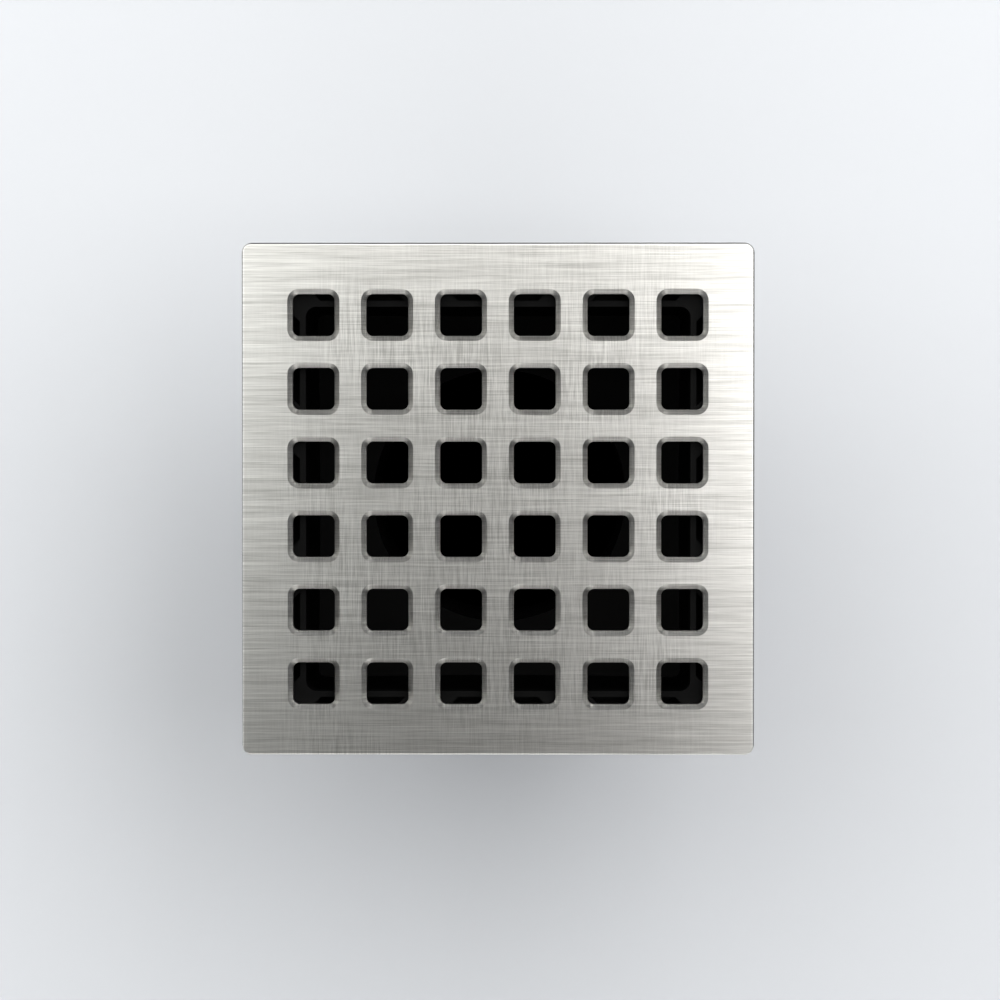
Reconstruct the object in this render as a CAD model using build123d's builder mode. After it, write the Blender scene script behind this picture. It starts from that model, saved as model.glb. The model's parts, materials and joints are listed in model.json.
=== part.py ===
"""Square shower floor drain grate on its adjustable riser, in millimetres.

+Z is up. The origin is the centre of the outlet spigot's lower end. The grate
lifts out of the riser head, the head swivels on the threaded tailpiece, and a
lock ring runs down the tailpiece's thread to clamp a washer and a gasket.
"""

import os
from math import ceil, cos, floor, radians, sin, tan

from build123d import *

# ---- clearances -----------------------------------------------------------
running_fit = 0.08       # radial, a rubber ring in its socket or its groove
free_gap = 0.3           # between parts that turn or slide past each other
face_gap = 0.05          # between flat faces that slide on each other

# ---- grate plate ------------------------------------------------------------
plate_side = 95.25
plate_thickness = 3.0
plate_corner_radius = 1.6
plate_edge_break = 0.3
holes_per_side = 6
edge_to_hole = 13.275    # plate edge to the centre of the first row of holes
hole_opening = 7.8
hole_corner_radius = 1.25
mouth_chamfer = 0.95

# ---- grate posts and their rings ----------------------------------------------
post_diameter = 5.0
post_length = 6.6        # below the plate
post_inset = 5.6         # plate edge to the post's axis
post_tip_chamfer = 0.6
stem_diameter = 3.2      # welded into the plate
stem_length = 1.6
weld_width = 0.6
weld_height = 0.3
post_groove_depth = 0.7
grip_ring_section = 1.2
grip_ring_drop = 4.0     # plate underside to the ring's centre

# ---- rest pads ------------------------------------------------------------------
pad_diameter = 4.2
pad_thickness = 1.2
pad_proud = 0.5
pad_edge_radius = 0.25

# ---- riser head -------------------------------------------------------------------
head_overhang = 0.3      # head beyond the plate, each side
ledge_width = 11.925     # outer face to the shaft's mouth
ledge_height = 8.0
ledge_outer_wall = 2.0
ledge_inner_wall = 1.1
ledge_edge_chamfer = 0.6
pocket_depth = 6.0
pocket_half_base = 7.5   # half the middle pocket's inner edge
brace_width = 7.0        # slanted brace between pockets, square to its sides
corner_brace_width = 5.5
boss_wall = 1.45
socket_floor = 1.2
shaft_depth = 34.5       # ledge top to the throat
shaft_wall = 2.4
shaft_draft = 0.9        # how much the shaft narrows to its floor, each side
shaft_mouth_radius = 2.0
shaft_floor_radius = 1.4
throat_inset = 0.6       # inside the tailpiece's bore, so that water falls clear
throat_land = 3.0
funnel_slope = 17.2      # degrees above level
gusset_thickness = 2.0
gusset_height = 12.0
gusset_offset = 17.0     # from the middle of each side

# ---- swivel collar ------------------------------------------------------------------
flange_reach = 3.65      # beyond the thread's crests
flange_thickness = 4.7
collar_wall = 3.1
collar_lip = 2.6         # collar below the retaining ring
collar_chamfer = 0.8
grip_count = 36          # small upright ribs round the collar
grip_radius = 0.7
swivel_ring_section = 2.35
swivel_groove_inset = 4.0
swivel_groove_width = 3.0
retainer_thickness = 1.6
retainer_bite = 1.4      # ring into the collar's groove
retainer_width = 3.6
retainer_gap_angle = 26.0
retainer_ear_angle = 13.0
retainer_ear_reach = 1.3
retainer_hole = 1.8

# ---- tailpiece and its thread -----------------------------------------------------------
thread_radius = 30.15    # 2 in straight pipe thread
tube_wall = 3.35         # bore to the thread's roots
thread_pitch = 25.4 / 11.5
thread_depth = 1.4
thread_crest = 0.3
thread_flank = 30.0      # degrees, each side
thread_sink = 0.15       # how far the tooth is sunk into the core that it stands on
thread_length = 38.0
thread_clearance = 0.2   # flank to flank in the lock ring
thread_lead = 45.0       # degrees, the chamfer at the thread's ends
neck_length = 3.0
pilot_step = 0.35        # pilot below the thread's roots
pilot_length = 9.0
pilot_chamfer = 1.0

# ---- lock ring, washer and gasket -----------------------------------------------------------
lock_ring_height = 8.0
lock_ring_wall = 6.85    # beyond the thread's crests
lock_ring_chamfer = 0.8
lock_ring_land = 0.8     # internal crests cut back from the tailpiece's roots
lock_ring_countersink = 1.3
lug_count = 8
lug_reach = 3.5
lug_width = 9.0
clamp_reach = 8.85       # washer and gasket, beyond the thread's crests
washer_thickness = 1.2
gasket_thickness = 4.0
gasket_bead = 0.6        # sealing beads under the gasket
gasket_height = 22.0     # spigot end to the gasket's underside, as delivered

# ---- heights and places worked out from the sizes above ---------------------------------------
thread_bottom = pilot_length
thread_top = thread_bottom + thread_length
flange_bottom = thread_top + neck_length
flange_top = flange_bottom + flange_thickness
head_bottom = flange_top + free_gap
throat_top = head_bottom + throat_land
ledge_top = throat_top + shaft_depth
ledge_bottom = ledge_top - ledge_height
plate_bottom = ledge_top + pad_proud
plate_top = plate_bottom + plate_thickness

root_radius = thread_radius - thread_depth
bore_radius = root_radius - tube_wall
throat_radius = bore_radius - throat_inset
pilot_radius = root_radius - pilot_step
flange_radius = thread_radius + flange_reach
swivel_groove_radius = flange_radius - swivel_groove_inset
lock_ring_radius = thread_radius + lock_ring_wall
clamp_radius = thread_radius + clamp_reach

head_half = plate_side / 2 + head_overhang
shaft_mouth_half = head_half - ledge_width
shaft_floor_half = shaft_mouth_half - shaft_draft
post_place = plate_side / 2 - post_inset
hole_pitch = (plate_side - 2 * edge_to_hole) / (holes_per_side - 1)

pocket_inner = shaft_mouth_half + ledge_inner_wall
pocket_outer = head_half - ledge_outer_wall
brace_start = pocket_half_base + brace_width / cos(radians(45))
pocket_end = pocket_inner - corner_brace_width / 2 / cos(radians(45))

socket_radius = post_diameter / 2 - post_groove_depth + grip_ring_section + running_fit
boss_radius = socket_radius + boss_wall


def post_places():
    """The four places of the posts, their rings and their sockets."""
    return GridLocations(2 * post_place, 2 * post_place, 2, 2)


def pad_centres():
    """Two pads a side, each in the middle of a slanted brace."""
    out = (pocket_inner + pocket_outer) / 2
    along = (pocket_half_base + brace_start) / 2 + out - pocket_inner
    side = [(-along, out), (along, out)]
    return [Vector(x, y).rotate(Axis.Z, 90 * turn) for turn in range(4) for x, y in side]


def save(part, name):
    part.label = name
    export_step(part, f"parts/{name}.step")


os.makedirs("parts", exist_ok=True)

# ---- grate plate: laser-cut sheet with countersunk square holes ------------------------------
with BuildPart() as grate_plate:
    with BuildSketch(Plane.XY.offset(plate_bottom)):
        RectangleRounded(plate_side, plate_side, plate_corner_radius)
    extrude(amount=plate_thickness)
    top_rim = grate_plate.faces().sort_by(Axis.Z)[-1].outer_wire().edges()
    fillet(top_rim, plate_edge_break)
    with BuildSketch(Plane.XY.offset(plate_top)):
        with GridLocations(hole_pitch, hole_pitch, holes_per_side, holes_per_side):
            RectangleRounded(hole_opening, hole_opening, hole_corner_radius)
    extrude(amount=-plate_thickness, mode=Mode.SUBTRACT)
    mouths = grate_plate.faces().sort_by(Axis.Z)[-1].inner_wires().edges()
    chamfer(mouths, mouth_chamfer)
    with BuildSketch(Plane.XY.offset(plate_bottom)):
        with post_places():
            Circle(stem_diameter / 2)
    extrude(amount=stem_length, mode=Mode.SUBTRACT)
save(grate_plate.part, "grate_plate")

# ---- grate posts: turned pins, welded into the plate, grooved for a ring ----------------------
ring_z = plate_bottom - grip_ring_drop
ring_radius = post_diameter / 2 - post_groove_depth + grip_ring_section / 2
for number, place in enumerate(post_places(), start=1):
    axis_x, axis_y = place.position.X, place.position.Y
    with BuildPart() as grate_post:
        with BuildSketch(Plane.XZ.offset(-axis_y)) as post_profile:
            with BuildLine():
                Polyline(
                    (axis_x, plate_bottom + stem_length),
                    (axis_x + stem_diameter / 2, plate_bottom + stem_length),
                    (axis_x + stem_diameter / 2, plate_bottom),
                    (axis_x + post_diameter / 2 + weld_width, plate_bottom),
                    (axis_x + post_diameter / 2, plate_bottom - weld_height),
                    (axis_x + post_diameter / 2, plate_bottom - post_length + post_tip_chamfer),
                    (axis_x + post_diameter / 2 - post_tip_chamfer, plate_bottom - post_length),
                    (axis_x, plate_bottom - post_length),
                    close=True,
                )
            make_face()
            with Locations((axis_x + post_diameter / 2, ring_z)):
                Rectangle(2 * post_groove_depth, grip_ring_section, mode=Mode.SUBTRACT)
        revolve(axis=Axis((axis_x, axis_y, 0), (0, 0, 1)))
    save(grate_post.part, f"grate_post_{number}")

    with BuildPart() as grip_ring:
        with BuildSketch(Plane.XZ.offset(-axis_y)):
            with Locations((axis_x + ring_radius, ring_z)):
                Circle(grip_ring_section / 2)
        revolve(axis=Axis((axis_x, axis_y, 0), (0, 0, 1)))
    save(grip_ring.part, f"grip_ring_{number}")

# ---- rest pads: soft dots that the plate lies on ---------------------------------------------
for number, centre in enumerate(pad_centres(), start=1):
    with BuildPart() as rest_pad:
        with BuildSketch(Plane.XY.offset(plate_bottom)):
            with Locations((centre.X, centre.Y)):
                Circle(pad_diameter / 2)
        extrude(amount=-pad_thickness)
        fillet(rest_pad.edges().group_by(Axis.Z)[-1], pad_edge_radius)
    save(rest_pad.part, f"rest_pad_{number}")

# ---- riser head -----------------------------------------------------------------------------
with BuildPart() as shaft_hollow:
    with BuildSketch(Plane.XY.offset(throat_top)):
        side = 2 * shaft_floor_half
        RectangleRounded(side, side, shaft_floor_radius)
    with BuildSketch(Plane.XY.offset(ledge_top)):
        side = 2 * shaft_mouth_half
        RectangleRounded(side, side, shaft_mouth_radius)
    loft()
    funnel_reach = 2 * shaft_mouth_half
    funnel_rise = (funnel_reach - throat_radius) * tan(radians(funnel_slope))
    with BuildSketch(Plane.XZ):
        with BuildLine():
            Polyline(
                (0, throat_top),
                (throat_radius, throat_top),
                (funnel_reach, throat_top + funnel_rise),
                (funnel_reach, plate_top),
                (0, plate_top),
                close=True,
            )
        make_face()
    revolve(axis=Axis.Z, mode=Mode.INTERSECT)

collar_bore = flange_radius + free_gap
collar_radius = collar_bore + collar_wall
retainer_top = flange_bottom - free_gap
collar_bottom = retainer_top - retainer_thickness - collar_lip

gusset_planes = [
    Plane(
        origin=Vector(gusset_offset * hand, 0, 0).rotate(Axis.Z, 90 * turn),
        x_dir=Vector(0, 1, 0).rotate(Axis.Z, 90 * turn),
        z_dir=Vector(1, 0, 0).rotate(Axis.Z, 90 * turn),
    )
    for turn in range(4)
    for hand in (-1, 1)
]

with BuildPart() as riser_head:
    # ledge, and the square shaft below it
    with BuildSketch(Plane.XY.offset(ledge_bottom)):
        RectangleRounded(2 * head_half, 2 * head_half, plate_corner_radius + head_overhang)
    extrude(amount=ledge_height)
    chamfer(riser_head.edges().group_by(Axis.Z)[0], ledge_edge_chamfer)
    with BuildSketch(Plane.XY.offset(head_bottom)):
        side = 2 * (shaft_floor_half + shaft_wall)
        RectangleRounded(side, side, shaft_floor_radius + shaft_wall)
    with BuildSketch(Plane.XY.offset(ledge_top)):
        side = 2 * (shaft_mouth_half + shaft_wall)
        RectangleRounded(side, side, shaft_mouth_radius + shaft_wall)
    loft()

    # gussets under the ledge
    with BuildSketch(*gusset_planes):
        inner = shaft_floor_half + shaft_wall / 2
        outer = head_half - ledge_outer_wall
        Polygon((inner, ledge_bottom), (outer, ledge_bottom),
                (inner + shaft_wall, ledge_bottom - gusset_height),
                (inner, ledge_bottom - gusset_height), align=None)
    extrude(amount=gusset_thickness / 2, both=True)

    # round collar that holds the tailpiece's flange
    with BuildSketch(Plane.XZ):
        with BuildLine():
            Polyline(
                (0, collar_bottom),
                (collar_radius - collar_chamfer, collar_bottom),
                (collar_radius, collar_bottom + collar_chamfer),
                (collar_radius, throat_top),
                (0, throat_top),
                close=True,
            )
        make_face()
    revolve(axis=Axis.Z)
    with BuildSketch(Plane.XY.offset(collar_bottom + 2 * collar_chamfer)):
        with PolarLocations(collar_radius, grip_count):
            Circle(grip_radius)
    extrude(amount=head_bottom - collar_bottom - 2 * collar_chamfer)
    with BuildSketch(Plane.XY.offset(collar_bottom)):
        Circle(collar_bore)
    extrude(amount=head_bottom - collar_bottom, mode=Mode.SUBTRACT)
    with BuildSketch(Plane.XY.offset(retainer_top + face_gap)):
        Circle(collar_bore + retainer_bite + face_gap)
    extrude(amount=-(retainer_thickness + 2 * face_gap), mode=Mode.SUBTRACT)

    # square shaft, funnel and round throat
    add(shaft_hollow.part, mode=Mode.SUBTRACT)
    with BuildSketch(Plane.XY.offset(head_bottom)):
        Circle(throat_radius)
    extrude(amount=throat_land, mode=Mode.SUBTRACT)

    # cored pockets in the ledge, three a side, with slanted braces between them
    reach = pocket_outer - pocket_inner
    with BuildSketch(Plane.XY.offset(ledge_top)):
        with PolarLocations(0, 4):
            Polygon((-pocket_half_base, pocket_inner), (pocket_half_base, pocket_inner),
                    (pocket_half_base + reach, pocket_outer),
                    (-pocket_half_base - reach, pocket_outer), align=None)
            for hand in (-1, 1):
                Polygon((hand * brace_start, pocket_inner), (hand * pocket_end, pocket_inner),
                        (hand * (pocket_end + reach), pocket_outer),
                        (hand * (brace_start + reach), pocket_outer), align=None)
        with post_places():
            Circle(boss_radius, mode=Mode.SUBTRACT)
    extrude(amount=-pocket_depth, mode=Mode.SUBTRACT)

    # sockets for the posts, and seats for the pads
    with BuildSketch(Plane.XY.offset(ledge_top)):
        with post_places():
            Circle(socket_radius)
    extrude(amount=-(ledge_height - socket_floor), mode=Mode.SUBTRACT)
    with BuildSketch(Plane.XY.offset(ledge_top)):
        with Locations(*pad_centres()):
            Circle(pad_diameter / 2)
    extrude(amount=-(pad_thickness - pad_proud), mode=Mode.SUBTRACT)
save(riser_head.part, "riser_head")

# ---- retaining ring: a sprung C under the flange, with two ears for pliers -------------------------
retainer_outer = collar_bore + retainer_bite
retainer_inner = retainer_outer - retainer_width
ear_inner = retainer_inner - retainer_ear_reach
half_gap = retainer_gap_angle / 2
ear_middle = half_gap + retainer_ear_angle / 2
with BuildPart() as retaining_ring:
    with BuildSketch(Plane.XY.offset(retainer_top - retainer_thickness)):
        Circle(retainer_outer)
        Circle(retainer_inner, mode=Mode.SUBTRACT)
        for hand in (-1, 1):
            with BuildLine():
                start, size = hand * half_gap, hand * retainer_ear_angle
                inside = CenterArc((0, 0), ear_inner, start, size)
                outside = CenterArc((0, 0), retainer_inner + face_gap, start, size)
                Line(inside @ 0, outside @ 0)
                Line(inside @ 1, outside @ 1)
            make_face()
        with BuildLine():
            far = 2 * retainer_outer
            Polyline((0, 0), (far, far * tan(radians(half_gap))),
                     (far, -far * tan(radians(half_gap))), close=True)
        make_face(mode=Mode.SUBTRACT)
        hole_circle = (ear_inner + retainer_inner) / 2 + retainer_hole / 4
        with Locations(*[(hole_circle * cos(radians(hand * ear_middle)),
                          hole_circle * sin(radians(hand * ear_middle))) for hand in (-1, 1)]):
            Circle(retainer_hole / 2, mode=Mode.SUBTRACT)
    extrude(amount=retainer_thickness)
save(retaining_ring.part, "retaining_ring")


def thread_tooth(root, crest, spread, bottom, top, lead):
    """The helical tooth between two heights, with its flanks spread outwards.

    Its two ends are cut at lead degrees, or square to the axis where lead is 0.
    """
    def half_width(radius):
        slope = tan(radians(thread_flank))
        return thread_crest / 2 + (thread_radius - radius) * slope + spread

    start = thread_bottom + (floor((bottom - thread_bottom) / thread_pitch) - 1) * thread_pitch
    turns = ceil((top - start) / thread_pitch) + 1
    beyond = crest + thread_depth
    run_out = (beyond - root) * tan(radians(lead))
    with BuildPart() as tooth:
        with BuildLine() as path:
            Helix(thread_pitch, turns * thread_pitch, thread_radius, center=(0, 0, start))
        with BuildSketch(Plane(origin=(0, 0, start), x_dir=(1, 0, 0), z_dir=(0, -1, 0))):
            Polygon((root, -half_width(root)), (crest, -half_width(crest)),
                    (crest, half_width(crest)), (root, half_width(root)), align=None)
        sweep(path=path.line, is_frenet=True)
        with BuildSketch(Plane.XZ):
            Polygon((0, bottom), (root, bottom), (beyond, bottom + run_out),
                    (beyond, top - run_out), (root, top), (0, top), align=None)
        revolve(axis=Axis.Z, mode=Mode.INTERSECT)
    return tooth.part


# ---- tailpiece: threaded outlet tube with a swivel flange ------------------------------------------
swivel_groove_depth = swivel_ring_section - free_gap + face_gap
outer_tooth = thread_tooth(root_radius - thread_sink, thread_radius, 0,
                           thread_bottom, thread_top, thread_lead)
with BuildPart() as tailpiece:
    add(outer_tooth)
    with BuildSketch(Plane.XZ):
        with BuildLine():
            Polyline(
                (bore_radius, 0),
                (pilot_radius - pilot_chamfer, 0),
                (pilot_radius, pilot_chamfer),
                (pilot_radius, pilot_length),
                (root_radius, pilot_length),
                (root_radius, thread_top),
                (pilot_radius, thread_top),
                (pilot_radius, flange_bottom),
                (flange_radius, flange_bottom),
                (flange_radius, flange_top),
                (bore_radius, flange_top),
                close=True,
            )
        make_face()
        with Locations((swivel_groove_radius, flange_top)):
            Rectangle(swivel_groove_width, 2 * swivel_groove_depth, mode=Mode.SUBTRACT)
    revolve(axis=Axis.Z)
save(tailpiece.part, "tailpiece")


with BuildPart() as swivel_o_ring:
    with BuildSketch(Plane.XZ):
        swivel_ring_height = flange_top - swivel_groove_depth + swivel_ring_section / 2
        with Locations((swivel_groove_radius, swivel_ring_height)):
            Circle(swivel_ring_section / 2)
    revolve(axis=Axis.Z)
save(swivel_o_ring.part, "swivel_o_ring")

# ---- gasket and slip washer ------------------------------------------------------------------------
clamp_bore = thread_radius + free_gap
gasket_top = gasket_height + gasket_thickness
with BuildPart() as drain_gasket:
    with BuildSketch(Plane.XZ):
        with BuildLine():
            Polyline((clamp_bore, gasket_height), (clamp_radius, gasket_height),
                     (clamp_radius, gasket_top), (clamp_bore, gasket_top), close=True)
        make_face()
        middle = (clamp_bore + clamp_radius) / 2
        step = (clamp_radius - clamp_bore) / 4
        with Locations((middle - step, gasket_height), (middle + step, gasket_height)):
            Circle(gasket_bead)
    revolve(axis=Axis.Z)
save(drain_gasket.part, "drain_gasket")

with BuildPart() as slip_washer:
    with BuildSketch(Plane.XY.offset(gasket_top)):
        Circle(clamp_radius)
        Circle(clamp_bore, mode=Mode.SUBTRACT)
    extrude(amount=washer_thickness)
save(slip_washer.part, "slip_washer")

# ---- lock ring: a lugged nut on the tailpiece's thread ---------------------------------------------
lock_ring_bottom = gasket_top + washer_thickness + face_gap
lock_ring_top = lock_ring_bottom + lock_ring_height
lock_ring_bore = root_radius + lock_ring_land
inner_tooth = thread_tooth(lock_ring_bore - thread_sink, thread_radius + free_gap,
                           thread_clearance / cos(radians(thread_flank)),
                           lock_ring_bottom, lock_ring_top, 0)
with BuildPart() as countersinks:
    inner = lock_ring_bore - free_gap
    mouth = lock_ring_bore + lock_ring_countersink
    with BuildSketch(Plane.XZ):
        for face, inward in ((lock_ring_bottom, 1), (lock_ring_top, -1)):
            outside, inside = face - inward * free_gap, face + inward * (mouth - inner)
            Polygon((inner, outside), (mouth + free_gap, outside), (inner, inside), align=None)
    revolve(axis=Axis.Z)

with BuildPart() as lock_ring:
    with BuildSketch(Plane.XY.offset(lock_ring_bottom)):
        Circle(lock_ring_radius)
        with PolarLocations(lock_ring_radius, lug_count):
            Rectangle(2 * lug_reach, lug_width)
    extrude(amount=lock_ring_height)
    chamfer(lock_ring.faces().sort_by(Axis.Z)[-1].outer_wire().edges(), lock_ring_chamfer)
    with BuildSketch(Plane.XY.offset(lock_ring_bottom)):
        Circle(lock_ring_bore)
    extrude(amount=lock_ring_height, mode=Mode.SUBTRACT)
    add(inner_tooth, mode=Mode.SUBTRACT)
    add(countersinks.part, mode=Mode.SUBTRACT)
save(lock_ring.part, "lock_ring")
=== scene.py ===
"""Looks for the square shower drain grate on its riser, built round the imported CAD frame."""

import json
import math

import bpy
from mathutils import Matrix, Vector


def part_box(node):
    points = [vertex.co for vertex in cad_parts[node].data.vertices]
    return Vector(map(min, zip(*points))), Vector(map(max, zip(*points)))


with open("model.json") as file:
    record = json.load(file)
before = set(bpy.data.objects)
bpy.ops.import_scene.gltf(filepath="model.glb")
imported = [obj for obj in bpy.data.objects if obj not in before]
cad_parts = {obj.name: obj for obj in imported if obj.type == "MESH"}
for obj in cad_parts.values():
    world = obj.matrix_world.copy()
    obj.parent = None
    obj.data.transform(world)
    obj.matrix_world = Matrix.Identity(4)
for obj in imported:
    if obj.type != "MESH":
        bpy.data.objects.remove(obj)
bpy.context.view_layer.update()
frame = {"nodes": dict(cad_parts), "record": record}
low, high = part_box("grate_plate")
plate_top = high.z
plate_width = high.x - low.x


# ---- node helpers -------------------------------------------------------------------------------
class Shader:
    """A new material, with short calls for its nodes."""

    def __init__(self, name):
        self.material = bpy.data.materials.new(name)
        self.material.use_nodes = True
        self.tree = self.material.node_tree
        self.main = self.tree.nodes["Principled BSDF"]
        self.place = self.node("ShaderNodeTexCoord").outputs["Object"]

    def node(self, kind, **values):
        made = self.tree.nodes.new(kind)
        for key, value in values.items():
            setattr(made, key, value)
        return made

    def link(self, source, target):
        self.tree.links.new(source, target)

    def fixed(self, **values):
        """Numbers and colours that are the same all over."""
        for key, value in values.items():
            socket = key.replace("_", " ").title().replace("Ior", "IOR")
            self.main.inputs[socket].default_value = value

    def stretched(self, scale):
        mapping = self.node("ShaderNodeMapping")
        mapping.inputs["Scale"].default_value = scale
        self.link(self.place, mapping.inputs["Vector"])
        return mapping.outputs["Vector"]

    def noise(self, scale, stretch=(1, 1, 1), detail=2.0, rough=0.5):
        made = self.node("ShaderNodeTexNoise")
        made.inputs["Scale"].default_value = scale
        made.inputs["Detail"].default_value = detail
        made.inputs["Roughness"].default_value = rough
        self.link(self.stretched(stretch), made.inputs["Vector"])
        return made.outputs["Fac"]

    def axis(self, name):
        made = self.node("ShaderNodeSeparateXYZ")
        self.link(self.place, made.inputs["Vector"])
        return made.outputs[name]

    def remap(self, source, low_in, high_in, low_out, high_out):
        made = self.node("ShaderNodeMapRange")
        for key, value in (("From Min", low_in), ("From Max", high_in),
                           ("To Min", low_out), ("To Max", high_out)):
            made.inputs[key].default_value = value
        self.link(source, made.inputs["Value"])
        return made.outputs["Result"]

    def math(self, operation, *values):
        made = self.node("ShaderNodeMath", operation=operation)
        for socket, value in zip(made.inputs, values):
            if isinstance(value, (int, float)):
                socket.default_value = value
            else:
                self.link(value, socket)
        return made.outputs["Value"]

    def ramp(self, source, *stops):
        made = self.node("ShaderNodeValToRGB")
        elements = made.color_ramp.elements
        while len(elements) < len(stops):
            elements.new(0.5)
        for element, (place, colour) in zip(elements, stops):
            element.position = place
            element.color = (*colour, 1)
        self.link(source, made.inputs["Fac"])
        return made.outputs["Color"]

    def bump(self, height, strength, distance):
        """Relief, distance metres deep, in the surface's normal."""
        made = self.node("ShaderNodeBump")
        made.inputs["Strength"].default_value = strength
        made.inputs["Distance"].default_value = distance
        self.link(height, made.inputs["Height"])
        self.link(made.outputs["Normal"], self.main.inputs["Normal"])

    def into(self, source, name):
        self.link(source, self.main.inputs[name])


# ---- materials ----------------------------------------------------------------------------------
def brushed_stainless():
    """Sheet brushed along X, with a faint linen of cross scratches."""
    s = Shader("brushed_stainless")
    s.fixed(metallic=1.0, anisotropic=0.48)
    fine = s.noise(1.0, (95, 5400, 400), 3, 0.6)
    streak = s.noise(1.0, (24, 1500, 100), 4, 0.65)
    cross = s.noise(1.0, (4200, 170, 400), 3, 0.6)
    # the linen comes in patches, and fades towards the left, right and top margins
    fade_from, fade_to = 0.030, 0.042
    patch = s.remap(s.noise(38.0, detail=1), 0.38, 0.60, 0.25, 1.0)
    middle = s.remap(s.math("ABSOLUTE", s.axis("X")), fade_from, fade_to, 1.0, 0.15)
    lower = s.remap(s.axis("Y"), fade_from, fade_to, 1.0, 0.35)
    where = s.math("MULTIPLY", patch, s.math("MULTIPLY", middle, lower))
    linen = s.math("MULTIPLY", s.remap(cross, 0.3, 0.7, -0.5, 0.5), where)
    along = s.math("ADD", s.math("MULTIPLY", fine, 0.62), s.math("MULTIPLY", streak, 0.38))
    grain = s.math("ADD", along, s.math("MULTIPLY", linen, 0.31))
    s.into(s.ramp(grain, (0.32, (0.45, 0.447, 0.433)), (0.5, (0.62, 0.616, 0.60)),
                  (0.68, (0.775, 0.772, 0.752))), "Base Color")
    # rough enough for the denoiser to keep the grain
    s.into(s.remap(grain, 0.25, 0.75, 0.286, 0.275), "Roughness")
    s.bump(grain, 0.12, 0.00002)
    # the highlight is drawn out along the tangent, which lies across the brushing
    across = s.node("ShaderNodeVectorTransform", vector_type="VECTOR",
                    convert_from="OBJECT", convert_to="WORLD")
    across.inputs["Vector"].default_value = (0, 1, 0)
    s.into(across.outputs["Vector"], "Tangent")
    return s.material


def turned_stainless():
    s = Shader("turned_stainless")
    s.fixed(metallic=1.0, anisotropic=0.4)
    rings = s.noise(1.0, (300, 300, 9000), 2, 0.5)
    s.into(s.ramp(rings, (0.3, (0.5, 0.49, 0.47)), (0.7, (0.66, 0.65, 0.62))), "Base Color")
    s.into(s.remap(rings, 0.3, 0.7, 0.34, 0.24), "Roughness")
    s.bump(rings, 0.2, 0.00002)
    return s.material


def spring_steel():
    s = Shader("spring_steel")
    s.fixed(metallic=1.0)
    stamped = s.noise(900, detail=4)
    s.into(s.ramp(stamped, (0.3, (0.34, 0.34, 0.35)), (0.7, (0.47, 0.47, 0.47))), "Base Color")
    s.into(s.remap(stamped, 0.3, 0.7, 0.45, 0.3), "Roughness")
    s.bump(stamped, 0.1, 0.00003)
    return s.material


def moulded_black(name, tone, dull, shine=0.3):
    """Black moulded plastic: fine eroded grain, slow gloss changes, a little handling haze."""
    s = Shader(name)
    s.fixed(specular_ior_level=shine)
    grain = s.noise(5200, detail=2, rough=0.6)
    flow = s.noise(60, (1, 1, 0.35), 3, 0.55)
    haze = s.noise(420, detail=5, rough=0.7)
    mix = s.math("ADD", s.math("MULTIPLY", flow, 0.6), s.math("MULTIPLY", haze, 0.4))
    s.tone = s.ramp(mix, (0.3, (tone, tone, tone * 1.05)),
                    (0.7, (tone * 1.8, tone * 1.8, tone * 1.85)))
    s.into(s.tone, "Base Color")
    s.into(s.remap(mix, 0.3, 0.7, dull - 0.07, dull + 0.08), "Roughness")
    s.bump(s.math("ADD", grain, s.math("MULTIPLY", haze, 0.4)), 0.16, 0.00005)
    return s


def head_plastic():
    """The same plastic, with painted shade inside the shaft and on the ledge: its colour is
    darkened there, under the plate.
    """
    s = moulded_black("black_abs", 0.014, 0.47, 0.12)
    shaft_wall, ledge_wall, ledge_face = (0.0362, 0.0368), (0.0466, 0.0474), (0.0854, 0.0862)
    # painted shade: inside the shaft and on the ledge the colour is scaled down to this share of
    # the outside's
    inside_shade_tone = 0.16
    out = s.math("MAXIMUM", s.math("ABSOLUTE", s.axis("X")), s.math("ABSOLUTE", s.axis("Y")))
    in_shaft = s.remap(out, *shaft_wall, 1.0, 0.0)
    in_ledge = s.math("MULTIPLY", s.remap(out, *ledge_wall, 1.0, 0.0),
                      s.remap(s.axis("Z"), *ledge_face, 0.0, 1.0))
    # painted shade mask: 1 outside, the shade share inside the shaft and on the ledge
    inside_shade = s.remap(s.math("MAXIMUM", in_shaft, in_ledge), 0.0, 1.0, 1.0, inside_shade_tone)
    dark = s.node("ShaderNodeVectorMath", operation="SCALE")
    s.link(s.tone, dark.inputs["Vector"])
    s.link(inside_shade, dark.inputs["Scale"])
    s.into(dark.outputs["Vector"], "Base Color")
    return s.material


def white_nylon():
    s = Shader("white_nylon")
    s.fixed(subsurface_weight=0.12, subsurface_scale=0.002)
    cloud = s.noise(180, detail=4)
    lathe = s.noise(1.0, (60, 60, 5000), 2)
    s.into(s.ramp(cloud, (0.3, (0.70, 0.69, 0.63)), (0.7, (0.82, 0.81, 0.76))), "Base Color")
    s.into(s.remap(cloud, 0.3, 0.7, 0.42, 0.55), "Roughness")
    s.bump(lathe, 0.12, 0.00004)
    return s.material


def black_rubber():
    s = Shader("black_rubber")
    bloom = s.noise(260, detail=6, rough=0.7)
    pores = s.noise(4200, detail=2)
    s.into(s.ramp(bloom, (0.35, (0.014, 0.014, 0.014)), (0.75, (0.045, 0.044, 0.042))),
           "Base Color")
    s.into(s.remap(bloom, 0.3, 0.7, 0.72, 0.9), "Roughness")
    s.bump(pores, 0.25, 0.00006)
    return s.material


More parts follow.
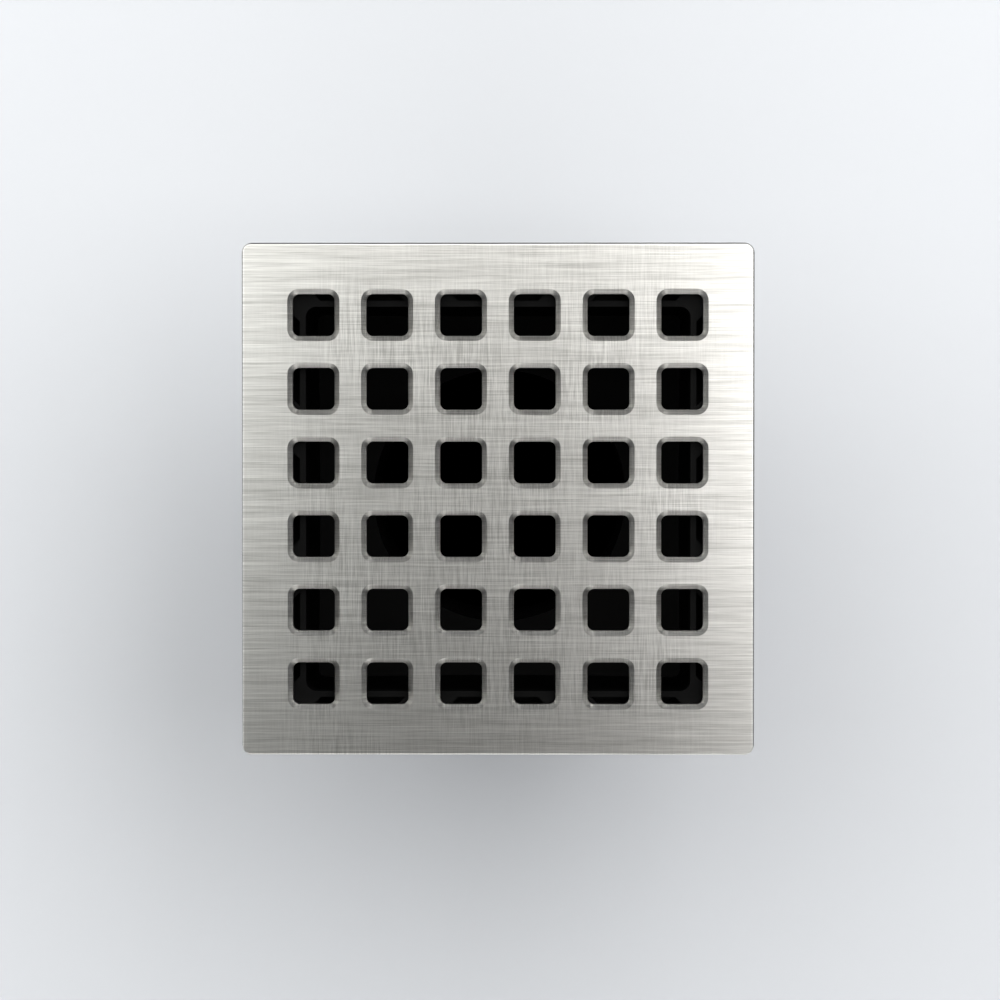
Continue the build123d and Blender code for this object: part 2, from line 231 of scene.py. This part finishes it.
def grey_silicone():
    s = Shader("grey_silicone")
    s.fixed(subsurface_weight=0.2, subsurface_scale=0.001)
    cloud = s.noise(700, detail=4)
    s.into(s.ramp(cloud, (0.3, (0.36, 0.37, 0.38)), (0.7, (0.47, 0.48, 0.49))), "Base Color")
    s.into(s.remap(cloud, 0.3, 0.7, 0.5, 0.66), "Roughness")
    s.bump(s.noise(5000), 0.12, 0.00004)
    return s.material


# by the record's material slot, and by node where one piece differs from its slot
looks = {
    "brushed_stainless": brushed_stainless(),
    "turned_stainless": turned_stainless(),
    "spring_steel": spring_steel(),
    "black_abs": head_plastic(),
    "white_nylon": white_nylon(),
    "black_rubber": black_rubber(),
    "grey_silicone": grey_silicone(),
}
own_looks = {
    "tailpiece": moulded_black("tailpiece_abs", 0.012, 0.38).material,
    "lock_ring": moulded_black("lock_ring_abs", 0.014, 0.5).material,
}
for part in frame["record"]["subparts"]:
    body = frame["nodes"][part["node"]]
    chosen = own_looks.get(part["node"], looks[part["material_slot"]])
    body.data.materials.clear()
    body.data.materials.append(chosen)


# ---- floor, and painted shade: a black disc below the outlet for the dark of the open drain -----
def disc(name, radius, height, points=96):
    mesh = bpy.data.meshes.new(name)
    turns = [math.tau * i / points for i in range(points)]
    corners = [(radius * math.cos(turn), radius * math.sin(turn), height) for turn in turns]
    mesh.from_pydata(corners, [], [list(range(points))])
    made = bpy.data.objects.new(name, mesh)
    bpy.context.scene.collection.objects.link(made)
    return made


def stage_material(name, colour, rough, shine=0.5):
    s = Shader(name)
    s.fixed(base_color=(*colour, 1), roughness=rough, specular_ior_level=shine)
    return s.material


floor = disc("floor", 6.0, -0.0004)
floor.data.materials.append(stage_material("pale_floor", (0.60, 0.617, 0.645), 0.7))
# painted shade: a black disc on the floor under the outlet stands in for the dark of the drain
# pipe below
waste_bore = next(m for m in frame["record"]["mounts"] if m["name"] == "waste_bore")
painted_drain_shade = disc("painted_drain_shade", waste_bore["dims"]["r_mm"] / 1000, 0.0002)
painted_drain_shade.data.materials.append(stage_material("painted_drain_shade", (0.0, 0.0, 0.0), 1.0, 0.0))


# ---- light and camera ---------------------------------------------------------------------------
softbox_height = 0.80


def softbox(name, size, place, brightness, colour, lean=0):
    """A rectangular softbox of a given radiance, which shines down, or forwards as it leans."""
    light = bpy.data.lights.new(name, "AREA")
    light.shape = "RECTANGLE"
    light.size, light.size_y = size
    light.energy = 4 * light.size * light.size_y * brightness
    light.color = colour
    made = bpy.data.objects.new(name, light)
    made.location = place
    made.rotation_euler = (math.radians(lean), 0, 0)
    bpy.context.scene.collection.objects.link(made)


def level_softbox(name, left, right, front, back, brightness, colour):
    """A softbox that lies level between two x and two y."""
    middle = ((left + right) / 2, (front + back) / 2, softbox_height)
    softbox(name, (right - left, back - front), middle, brightness, colour)


level_softbox("back_softbox", -0.9, 0.9, 0.105, 0.95, 1.72, (1.0, 0.992, 0.965))
level_softbox("right_softbox", 0.105, 0.50, -0.08, 0.739, 3.5, (1.0, 0.985, 0.975))
level_softbox("left_softbox", -0.50, -0.115, -0.05, 0.624, 1.8, (0.98, 1.0, 0.985))
level_softbox("front_softbox", -0.9, 0.9, -1.7, -0.80, 1.2, (1.0, 0.99, 0.98))
panel_distance, panel_height = 3.6, 2.2
for number, turn in enumerate((0, 90, 180, 270), start=1):
    place = (panel_distance * math.cos(math.radians(turn)),
             panel_distance * math.sin(math.radians(turn)), panel_height)
    softbox(f"room_panel_{number}", (4.0, 4.0), place, 0.85, (1.0, 0.995, 0.985))
softbox("front_panel", (1.8, 0.6), (0, -1.6, 0.28), 0.55, (1.0, 0.98, 0.96), 90)

horizon_glow, overhead_glow = 0.33, 0.01
world = bpy.data.worlds.new("studio")
world.use_nodes = True
background = world.node_tree.nodes["Background"]
background.inputs["Color"].default_value = (0.84, 0.85, 0.88, 1)
direction = world.node_tree.nodes.new("ShaderNodeTexCoord")
height = world.node_tree.nodes.new("ShaderNodeSeparateXYZ")
fall = world.node_tree.nodes.new("ShaderNodeMapRange")
for key, value in (("From Min", 0.0), ("From Max", 0.75),
                   ("To Min", horizon_glow), ("To Max", overhead_glow)):
    fall.inputs[key].default_value = value
world.node_tree.links.new(direction.outputs["Generated"], height.inputs["Vector"])
world.node_tree.links.new(height.outputs["Z"], fall.inputs["Value"])
world.node_tree.links.new(fall.outputs["Result"], background.inputs["Strength"])
bpy.context.scene.world = world

# The photographed view: straight down, with the plate half the frame wide.
camera_height = 0.640    # above the plate
share_of_frame = 0.5116  # plate's width in the frame's
camera_data = bpy.data.cameras.new("camera")
camera_data.sensor_width = 36.0
camera_data.lens = camera_data.sensor_width * camera_height * share_of_frame / plate_width
camera = bpy.data.objects.new("camera", camera_data)
camera.location = (0.0058, 0.0132, plate_top + camera_height)
aim_x, aim_y = 0.0004, -0.0001    # on the plate's face
off_x, off_y = aim_x - camera.location.x, aim_y - camera.location.y
camera.rotation_euler = (math.atan2(off_y, camera_height), -math.atan2(off_x, camera_height), 0)
bpy.context.scene.collection.objects.link(camera)
bpy.context.scene.camera = camera
view = bpy.context.scene.view_settings
view.view_transform = "Standard"
view.gamma = 0.80
view.exposure = 0.02
